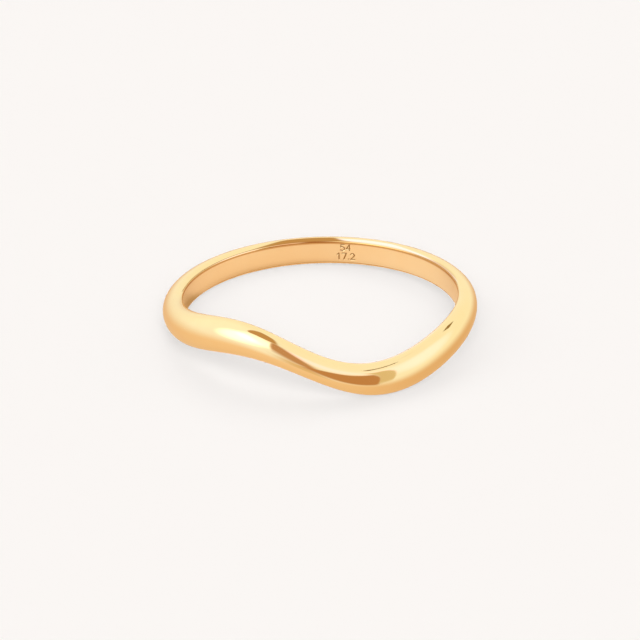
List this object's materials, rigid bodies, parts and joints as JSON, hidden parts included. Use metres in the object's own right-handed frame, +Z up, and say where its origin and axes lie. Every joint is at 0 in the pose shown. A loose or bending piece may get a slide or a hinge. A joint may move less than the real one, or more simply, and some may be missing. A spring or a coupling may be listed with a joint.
{
  "type": "wave ring",
  "caption": "Slim finger ring with a domed band, plain at the back and swinging up into a crest and down into a trough at the front.",
  "frame": {"origin": "centre of the ring's outline, on the flat surface that it lies on", "axes": "+Z up from that surface, with the finger axis leaning 4.6 degrees from it; -Y towards the middle of the wave, which is the ring's front; +X to the right of someone who looks at the front"},
  "size_m": [0.0196, 0.0196, 0.0044],
  "materials": {
    "gold_plate": "polished gold plate over sterling silver"
  },
  "bodies": {
    "root": {"band": "gold_plate"}
  },
  "joints": []
}
